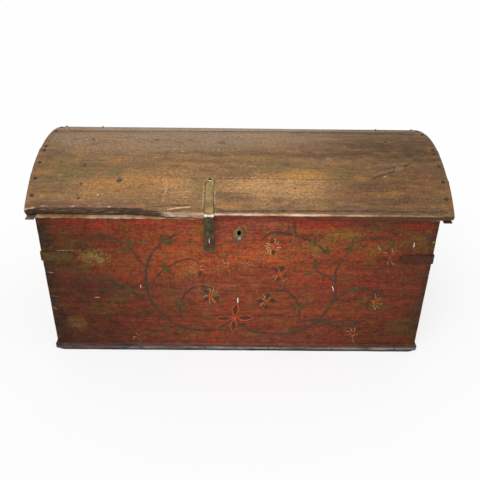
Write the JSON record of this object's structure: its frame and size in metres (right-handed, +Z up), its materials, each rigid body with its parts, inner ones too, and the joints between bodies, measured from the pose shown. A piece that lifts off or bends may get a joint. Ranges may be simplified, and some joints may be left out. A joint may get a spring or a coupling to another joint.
{
  "type": "painted dome-lid trunk",
  "caption": "Long painted plank trunk with a domed lid on strap hinges, iron hasp and staple, box lock, corner straps, base moulding and bail handles.",
  "frame": {"origin": "on the floor under the middle of the lid", "axes": "+X along the chest to the right seen from the front, +Y to the back, +Z up"},
  "size_m": [1.134, 0.595, 0.5808],
  "materials": {
    "painted_boards": "worn oil paint",
    "lid_wood": "weathered, satin",
    "moulding_wood": "dark worn paint",
    "bare_wood": "bare",
    "iron": "rusted wrought iron"
  },
  "bodies": {
    "box": {"back_lower_board": "painted_boards", "back_upper_board": "painted_boards", "base_moulding_front": "moulding_wood", "base_moulding_left": "moulding_wood", "base_moulding_nails": "iron", "base_moulding_right": "moulding_wood", "bottom_front_board": "bare_wood", "bottom_middle_board": "bare_wood", "bottom_nails": "iron", "bottom_rear_board": "bare_wood", "corner_strap_left": "iron", "corner_strap_nails": "iron", "corner_strap_right": "iron", "escutcheon_pins": "iron", "front_lower_board": "painted_boards", "front_upper_board": "painted_boards", "handle_staples_left": "iron", "handle_staples_right": "iron", "hasp_staple": "iron", "hinge_back_nails": "iron", "hinge_back_strap_left": "iron", "hinge_back_strap_right": "iron", "hinge_pin_left": "iron", "hinge_pin_right": "iron", "keyhole_escutcheon": "iron", "left_end_lower_board": "painted_boards", "left_end_upper_board": "painted_boards", "lock_bolt_guides": "iron", "lock_cover": "iron", "lock_nails": "iron", "lock_plate": "iron", "lock_spring": "iron", "right_end_lower_board": "painted_boards", "right_end_upper_board": "painted_boards", "till_bottom": "bare_wood", "till_side": "bare_wood"},
    "lid": {"lid_front_plank": "lid_wood", "lid_front_upper_plank": "lid_wood", "lid_crown_plank": "lid_wood", "lid_rear_upper_plank": "lid_wood", "lid_rear_plank": "lid_wood", "lid_end_left": "lid_wood", "lid_end_right": "lid_wood", "lid_nails": "iron", "lid_iron_nails": "iron", "hinge_lid_strap_left": "iron", "hinge_lid_strap_right": "iron", "lock_catch": "iron", "hasp_lid_leaf": "iron", "hasp_pin": "iron", "hasp_nails": "iron"},
    "hasp": {"hasp_leaf": "iron"},
    "bolt": {"lock_bolt": "iron"},
    "left_handle": {"handle_bail_left": "iron"},
    "right_handle": {"handle_bail_right": "iron"}
  },
  "joints": [
    {"name": "lid_hinge", "type": "hinge", "parent": "box", "child": "lid", "pos_m": [0, 0.2865, 0.456], "axis": [-1, 0, 0], "range_deg": [0, 100]},
    {"name": "hasp_hinge", "type": "hinge", "parent": "lid", "child": "hasp", "pos_m": [-0.08, -0.298, 0.46664], "axis": [-1, 0, 0], "range_deg": [-8, 180]},
    {"name": "bolt_slide", "type": "slide", "parent": "box", "child": "bolt", "axis": [1, 0, 0], "range_m": [0, 0.014]},
    {"name": "left_handle_swing", "type": "hinge", "parent": "box", "child": "left_handle", "pos_m": [-0.553, 0, 0.3], "axis": [0, 1, 0], "range_deg": [0, 180]},
    {"name": "right_handle_swing", "type": "hinge", "parent": "box", "child": "right_handle", "pos_m": [0.5465, 0, 0.3], "axis": [0, -1, 0], "range_deg": [0, 180]}
  ]
}
